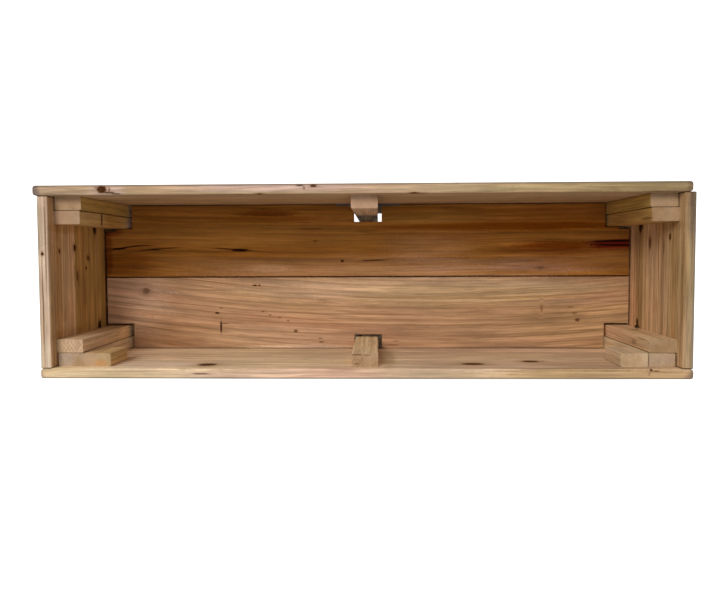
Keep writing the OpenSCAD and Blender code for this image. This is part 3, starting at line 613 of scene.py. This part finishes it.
right_wood = timber(
    "right wall timber", "right_end_board_1", "y", "z", seed=31,
    pale=(0.60, 0.43, 0.265), brown=(0.46, 0.30, 0.165), deep=(0.24, 0.13, 0.05),
    ring=5.5, bands=0.5, lines=0.6, courses=True, weather=0.4, contrast=1.2,
    tones=((1.02, 0.94, 0.86), (1.30, 1.18, 1.08), (1.26, 1.12, 0.98)),
    seams=(("z", floor, 2.6, 0.9), ("y", 143, 1.6, 0.9), ("y", -143, 1.8, 0.95)),
    tints=(
        ((530, 0, rim), (16, 400, 7), (0.80, 0.82, 0.84)),
        ((533, -95, rim), (18, 80, 9), (1.24, 1.26, 1.32)),
        ((533, 110, rim), (18, 60, 9), (0.88, 0.88, 0.94)),
        ((523, 0, rim), (4, 400, 7), (0.86, 0.82, 0.80)),
        ((539, 150, rim), (13, 90, 8), (0.62, 0.60, 0.66)),
        ((534, 0, rim), (3, 400, 7), (0.86, 0.86, 0.86)),
        ((539.5, 20, rim), (4, 190, 8), (0.62, 0.64, 0.74)),
        ((521, 0, 565), (3, 400, 14), (0.92, 0.86, 0.78)),
        ((521, 0, 426), (3, 400, 19), (0.66, 0.62, 0.52)),
        # Painted shade in the narrow gap behind the front outer batten
        ((520.5, -131, 562), (2, 13, 20), (0.34, 0.26, 0.20)),
        # Painted shade on the wall beside the rear post
        ((520.5, 92, 545), (3, 12, 60), (0.82, 0.76, 0.66)),
    ),
    marks=(
        ("knot", (521, 63, 470), (5, 12, 5), 0.7),
        ("knot", (521, 72, 547), (5, 6, 4), 0.9),
        ("crack", (521, 55, 525), (4, 14, 1.8), 0.8),
        ("crack", (521, 40, 505), (4, 60, 1.6), 0.5),
        # The next three marks draw the pocket holes beside the posts, not cracks; their dark is painted shade
        # inside the holes
        ("crack", (520.5, 97, 427), (5, 15, 8), 0.95),
        ("crack", (520.5, -89, 419), (5, 10, 5), 0.95),
        ("ring", (520.5, -97, 419), (5, 5.5, 9), 0.95),
        ("crack", (520.5, 95, 436), (4, 8, 3.5), 0.7),
    ))
for course in range(1, 7):
    dress(f"rear_wall_board_{course}", rear_wood)
    dress(f"front_wall_board_{course}", front_wood)
    dress(f"left_end_board_{course}", left_wood)
    dress(f"right_end_board_{course}", right_wood)

# Posts, battens and blocks: sawn stock with upright grain, each with its own look
# (node, seed, colour, colour factors of its upright faces, which are painted light and shade, tints, marks)
BATTENS = (
    ("front_left_outer_post_batten", 41, (0.515, 0.362, 0.245), (1.68, 1.83, 1.78),
     (((-500, -131, batten_top), (15, 16, 6), (0.90, 0.94, 1.04)),
      # Painted light from below on the batten's side, at its foot under the floor's top
      ((-467, -131, 362), (4, 30, 22), (1.7, 1.5, 1.3))),
     ()),
    ("front_left_inner_post_batten", 42, (0.60, 0.40, 0.255), (1.32, 1.38, 1.34),
     # Both tints are painted light at the batten's foot: on its side face, and in the gap behind its rear
     # face
     (((-469.5, -108, 385), (4, 30, 52), (1.36, 1.36, 1.36)),
      ((-495, -97, 362), (40, 3, 22), (1.2, 0.9, 0.6))),
     ()),
    ("front_right_outer_post_batten", 43, (0.48, 0.342, 0.217), (1.75, 1.89, 1.84),
     (((497, -131, batten_top), (26, 8, 6), (0.96, 0.93, 1.02)),),
     (("crack", (474.4, -131.5, batten_top), (1.3, 13, 4), 0.55),)),
    ("front_right_inner_post_batten", 44, (0.43, 0.28, 0.156), (1.76, 1.92, 2.06),
     # The first tint is painted light in the gap at the batten's rear foot; the second darkens its left face
     # at the foot
     (((490, -97, 362), (40, 3, 22), (1.3, 1.1, 0.9)), ((476.5, -108, 362), (3, 30, 22), (0.7, 0.4, 0.2))),
     (("knot", (476.5, -110, 515), (5, 4, 10), 0.35),
      ("crack", (477, -101, 548), (3, 1.3, 20), 0.45),
      ("crack", (516, -97, 426), (3, 3, 9), 0.9),
      ("crack", (505, -97, 452), (9, 3, 4), 0.85))),
    ("rear_left_outer_post_batten", 45, (0.48, 0.312, 0.180), (1.16, 1.16, 0.62),
     # Painted light from below on the batten's side, at its foot under the floor's top
     (((-467, 131, 365), (5, 30, 18), (1.5, 1.5, 2.6)),),
     ()),
    ("rear_left_inner_post_batten", 46, (0.46, 0.306, 0.183), (1.44, 1.42, 1.0),
     (((-469.5, 108, 445), (5, 30, 48), (0.86, 0.80, 0.60)),
      # Painted light from below on the batten's side, at its foot under the floor's top
      ((-469.5, 108, 365), (5, 30, 18), (1.5, 1.5, 2.6))),
     (("crack", (-469.5, 108, 494.8), (3, 15, 2.6), 0.95),)),
    ("rear_right_outer_post_batten", 47, (0.435, 0.282, 0.160), (1.30, 1.29, 0.66),
     (),
     ()),
    ("rear_right_inner_post_batten", 48, (0.42, 0.268, 0.156), (1.42, 1.40, 0.85),
     (),
     (("crack", (476.5, 102, 560), (3, 3, 22), 0.5),)),
    ("front_middle_batten", 49, (0.48, 0.305, 0.18), (1.74, 2.05, 2.12),
     # The second tint is painted shade in the gap at the batten's right foot, under the floor's top
     (((7, -120.5, 366), (30, 3, 14), (1.1, 1.15, 0.95)),
      ((28.7, -131, 366), (3, 30, 16), (0.4, 0.15, 0.08))),
     (("crack", (-7, -123, batten_top), (9, 1.2, 4), 0.55),
      ("crack", (10, -123.5, batten_top), (5, 1.0, 4), 0.45),
      ("crack", (-8, -138, batten_top), (6, 1.2, 4), 0.4))),
    ("rear_middle_batten", 50, (0.52, 0.335, 0.21), (1.08, 1.26, 1.32),
     # Painted light from below on the batten's face under the floor's top
     (((7, 120.5, 345), (40, 3, 36), (1.6, 1.8, 2.3)),),
     ()),
    ("front_left_corner_block", 51, (0.51, 0.343, 0.207), (1.50, 1.43, 1.18),
     (((-440, -137, batten_top), (14, 7, 6), (1.06, 0.88, 0.70)),),
     ()),
    ("front_right_corner_block", 52, (0.57, 0.43, 0.267), (1.31, 1.39, 1.50),
     (),
     ()),
)
BROWN_OF_PALE = (0.80, 0.74, 0.66)
DEEP_OF_PALE = (0.45, 0.38, 0.30)
SAWN = {"front_left_inner_post_batten": (((-491, -108, batten_top), (26, 14, 8)),),
        "front_middle_batten": (((-6, -134, batten_top), (13, 8, 8)),)}
for node, seed, pale, upright_face_light, tints, marks in BATTENS:
    brown, deep = (tuple(c * f for c, f in zip(pale, shares)) for shares in (BROWN_OF_PALE, DEEP_OF_PALE))
    dress(node, timber(f"{node} timber", node, "z", "x", seed, pale, brown, deep, ring=4.5, pith=(30.0, 25.0),
                       bands=0.5, lines=0.45, wander=2.0, sawn=SAWN.get(node, ()), contrast=0.8, upright_face_light=upright_face_light,
                       tints=tints, marks=marks))

# Floor: the rear board is dark and warm, the front one paler, with its grain bent like a shallow bowl
# Floor seams: a dark line of dirt and painted shade between the boards, and painted shade on their edges
# under the top
FLOOR_JOINTS = (("y", 0.0, 1.7, 0.97), ("z", floor - 15, 11.5, 0.75))
dress("rear_floor_board", timber(
    "rear floor timber", "rear_floor_board", "x", "y", seed=61,
    pale=(0.445, 0.182, 0.034), brown=(0.290, 0.107, 0.0155), deep=(0.067, 0.022, 0.0045),
    ring=12.0, bands=0.6, lines=0.45, wander=9.0, contrast=0.85, bow=(150, 0.00003), seams=FLOOR_JOINTS,
    tints=(
        ((290, 98, floor), (310, 11, 10), (0.74, 0.52, 0.14)),
        ((375, 60, floor), (95, 13, 10), (0.66, 0.48, 0.22)),
        ((-188, 126, floor), (75, 8, 10), (0.58, 0.44, 0.32)),
        ((-190, 115, floor), (120, 10, 10), (0.8, 0.7, 0.5)),
        ((120, 55, floor), (110, 24, 10), (1.16, 1.34, 1.9)),
        ((0, 15, floor), (440, 32, 10), (1.18, 1.42, 2.9)),
        ((-240, 82, floor), (330, 20, 10), (1.18, 1.26, 1.40)),
        ((140, 112, floor), (110, 20, 10), (1.20, 1.36, 1.50)),
        ((370, 52, floor), (130, 17, 10), (0.75, 0.60, 0.42)),
        ((490, 62, floor), (54, 11, 10), (0.95, 0.36, 0.5)),
        ((-185, 17, floor), (55, 10, 10), (1.25, 1.35, 1.6)),
        ((100, 6, floor), (480, 16, 10), (1.30, 1.35, 1.55)),
        ((-469, 28, floor), (70, 26, 10), (0.92, 0.80, 0.62)),
        ((-170, 43, floor), (42, 7, 10), (1.12, 1.10, 1.3)),
        ((488, 64, floor), (62, 8, 10), (0.5, 0.32, 0.5)),
        # The next two tints are a painted shadow along the floor's left end, by the wall
        ((-509, 60, floor), (10, 90, 10), (0.66, 0.48, 0.46)),
        ((-500, 90, floor), (24, 12, 10), (0.66, 0.48, 0.52)),
        ((142, 58, floor), (115, 55, 10), (1.05, 1.09, 1.42)),
        ((394, 31, floor), (165, 30, 10), (1.02, 1.06, 1.62)),
        ((369, 103, floor), (120, 24, 10), (1.0, 0.99, 0.72)),
    ),
    marks=(
        ("crack", (-488, 57, floor), (15, 2.0, 4), 0.95, 0.05),
        ("crack", (-460, 61.3, floor), (42, 1.5, 4), 0.85, 0.11, -0.0015),
        ("crack", (-408, 56.3, floor), (44, 1.4, 4), 0.7, 0.08, -0.0005),
        ("crack", (-414, 55.3, floor), (9, 2.0, 4), 0.7),
        ("crack", (-257, 54.8, floor), (46, 1.5, 4), 0.75, -0.06),
        ("crack", (-245, 53.2, floor), (18, 3.0, 4), 0.95),
        ("crack", (-41.7, 31.1, floor), (3.6, 2.2, 4), 0.9),
        ("crack", (-95, 70.8, floor), (4.5, 1.6, 4), 0.5),
        ("crack", (20, 32.2, floor), (30, 1.4, 4), 0.75, 0.03),
        ("crack", (-104, 94.4, floor), (26, 1.1, 4), 0.5),
        ("crack", (492, 68.5, floor), (50, 2.2, 4), 0.95, 0.02),
        ("crack", (492, 60.0, floor), (50, 1.8, 4), 0.95, -0.02),
        ("knot", (347, 16, floor), (7, 3, 4), 0.35),
    )))
dress("front_floor_board", timber(
    "front floor timber", "front_floor_board", "x", "y", seed=67,
    pale=(0.50, 0.288, 0.158), brown=(0.38, 0.20, 0.097), deep=(0.16, 0.076, 0.028),
    ring=10.0, bands=0.5, lines=0.55, wander=6.0, bow=(130, 0.00011), seams=FLOOR_JOINTS,
    tints=(
        ((120, -26, floor), (430, 32, 10), (1.28, 1.42, 1.58)),
        # Painted light that lifts the shade at the floor's left end
        ((-485, -48, floor), (110, 80, 10), (1.52, 1.66, 1.95)),
        ((-180, -122, floor), (190, 28, 10), (1.09, 1.20, 1.28)),
        ((-135, -141, floor), (130, 7, 10), (1.45, 1.65, 1.9)),
        ((330, -66, floor), (210, 24, 10), (0.92, 0.90, 0.89)),
        ((260, -142, floor), (330, 5, 10), (1.10, 1.14, 1.20)),
        ((-400, -118, floor), (130, 30, 10), (0.86, 0.82, 0.76)),
        ((200, -42, floor), (330, 4, 10), (0.84, 0.80, 0.70)),
    ),
    marks=(
        ("knot", (-434, -27.4, floor), (7, 6, 4), 0.55),
        ("crack", (-216, -17, floor), (4.5, 1.7, 4), 0.9),
        ("crack", (-207, -17, floor), (2.4, 1.7, 4), 0.9),
        ("crack", (-292, -71.7, floor), (4.5, 2.0, 4), 0.9),
        ("crack", (-284, -61.7, floor), (3.2, 1.3, 4), 0.6),
        ("crack", (-284.5, -100, floor), (2.0, 13, 4), 0.9),
        ("crack", (-278, -92.8, floor), (10, 1.1, 4), 0.6),
        ("crack", (-200, -69, floor), (3.2, 1.3, 4), 0.5),
        ("crack", (-186, -76, floor), (3, 1.3, 4), 0.5),
        ("crack", (-167, -81, floor), (3.4, 1.2, 4), 0.5),
        ("crack", (-150, -87, floor), (3, 1.4, 4), 0.5),
        ("crack", (-135, -108, floor), (4, 3, 4), 0.7),
        ("crack", (-86, -123, floor), (5, 1.2, 4), 0.5),
        ("crack", (-84, -130, floor), (5, 1.6, 4), 0.6),
        ("knot", (350, -65, floor), (2.5, 7, 4), 0.35),
        ("crack", (406, -61, floor), (7, 1.4, 4), 0.4),
        ("knot", (420, -86.5, floor), (4.2, 3.2, 4), 0.75),
        ("crack", (414, -73, floor), (5, 1.8, 4), 0.4),
        ("crack", (56, -136, floor), (15, 1.4, 4), 0.45),
        ("crack", (64, -128, floor), (7, 1.1, 4), 0.4),
        ("crack", (290, -140, floor), (140, 1.0, 4), 0.4),
    )))

# Bearers and caster boards under the floor: (node, axis across the board, seed)
HIDDEN_BOARDS = (
    ("left_floor_bearer", "z", 71),
    ("middle_floor_bearer", "z", 72),
    ("right_floor_bearer", "z", 73),
    ("left_caster_board", "x", 74),
    ("right_caster_board", "x", 75),
)
for node, across, seed in HIDDEN_BOARDS:
    dress(node, timber(f"{node} timber", node, "y", across, seed, (0.52, 0.38, 0.25), (0.42, 0.28, 0.16),
                       (0.22, 0.12, 0.06), bands=0.5, lines=0.45))

# Casters and screws
zinc = steel("zinc-plated steel", (0.62, 0.64, 0.65), 0.30)
dress("caster_plates", zinc)
dress("caster_screws", zinc)
dress("box_screws", steel("passivated screw steel", (0.52, 0.46, 0.33), 0.34))
joint_axes = {joint["child"]: Vector(joint["axis"]) for joint in frame["joints"]}
for corner in ("front_left", "front_right", "rear_left", "rear_right"):
    dress(f"{corner}_fork", zinc)
    dress(f"{corner}_axle_bolt", zinc)
    dress(f"{corner}_wheel", wheel_skin(f"{corner} wheel", f"{corner}_wheel",
                                        joint_axes[f"{corner}_rolling_wheel"]))
pedal_red = plastic("brake pedal plastic", (0.36, 0.035, 0.025))
for corner in ("front_left", "front_right"):
    dress(f"{corner}_brake_pedal", pedal_red)


def seen_directly(tree):
    """One for the camera's rays and for those that metal or glass sends on, nought for the rest."""
    rays = tree.nodes.new("ShaderNodeLightPath").outputs
    share = rays["Is Camera Ray"]
    for kind in ("Is Glossy Ray", "Is Transmission Ray"):
        either = tree.nodes.new("ShaderNodeMath")
        either.operation = "MAXIMUM"
        tree.links.new(share, either.inputs[0])
        tree.links.new(rays[kind], either.inputs[1])
        share = either.outputs[0]
    return share


def lay_ground():
    """White ground that keeps the object's shadow."""
    bpy.ops.mesh.primitive_plane_add(size=GROUND_SIZE, location=(0, 0, 0))
    ground = bpy.context.object
    ground.name = "ground"
    paper = Shader("white ground")
    lit = paper.node("BsdfDiffuse", (GROUND_GREY, GROUND_GREY, GROUND_GREY, 1.0))
    glow = paper.node("Emission", (1.0, 1.0, 1.0, 1.0), GROUND_GLOW)
    both = paper.node("AddShader", lit.outputs[0], glow.outputs[0])
    shown = paper.node("MixShader", seen_directly(paper.tree), lit.outputs[0], both.outputs[0])
    paper.tree.links.new(shown.outputs[0], paper.node("OutputMaterial").inputs["Surface"])
    ground.data.materials.append(paper.material)


def make_sky():
    """Soft even daylight, and white where the camera sees it."""
    world = bpy.data.worlds.new("soft daylight")
    world.use_nodes = True
    tree = world.node_tree
    tree.nodes.clear()
    light, white = (tree.nodes.new("ShaderNodeBackground") for _ in range(2))
    light.inputs["Color"].default_value = (0.98, 0.99, 1.0, 1.0)
    light.inputs["Strength"].default_value = SKY
    white.inputs["Strength"].default_value = 1.0
    choice = tree.nodes.new("ShaderNodeMixShader")
    out = tree.nodes.new("ShaderNodeOutputWorld")
    for source, socket in zip((seen_directly(tree), light.outputs[0], white.outputs[0]), choice.inputs):
        tree.links.new(source, socket)
    tree.links.new(choice.outputs[0], out.inputs["Surface"])
    bpy.context.scene.world = world


def make_sun():
    """A wide, soft sun from behind and a little to the left."""
    sun = bpy.data.lights.new("soft sun", "SUN")
    sun.energy = SUN
    sun.angle = SUN_SPREAD
    sun.color = SUN_COLOUR
    lamp = bpy.data.objects.new("soft sun", sun)
    lamp.rotation_mode = "QUATERNION"
    lamp.rotation_quaternion = SUN_FROM.to_track_quat("Z", "Y")
    bpy.context.scene.collection.objects.link(lamp)


def make_camera():
    """The photograph's camera, which looks down into the box."""
    lens = bpy.data.cameras.new("camera")
    lens.sensor_width = SENSOR_W
    lens.lens = SENSOR_W * FOCAL_PX / PHOTO_W
    lens.shift_y = -(PHOTO_H / 2 - AXIS_PX_Y) / PHOTO_W
    lens.clip_start = 0.01
    camera = bpy.data.objects.new("camera", lens)
    turn_x, turn_y, turn_z = (Matrix.Rotation(angle, 4, axis) for angle, axis in zip(CAMERA_TURN, "XYZ"))
    camera.matrix_world = Matrix.Translation(CAMERA_AT) @ turn_x @ turn_y @ turn_z
    bpy.context.scene.collection.objects.link(camera)
    bpy.context.scene.camera = camera


lay_ground()
make_sky()
make_sun()
make_camera()
bpy.context.scene.view_settings.view_transform = "Standard"
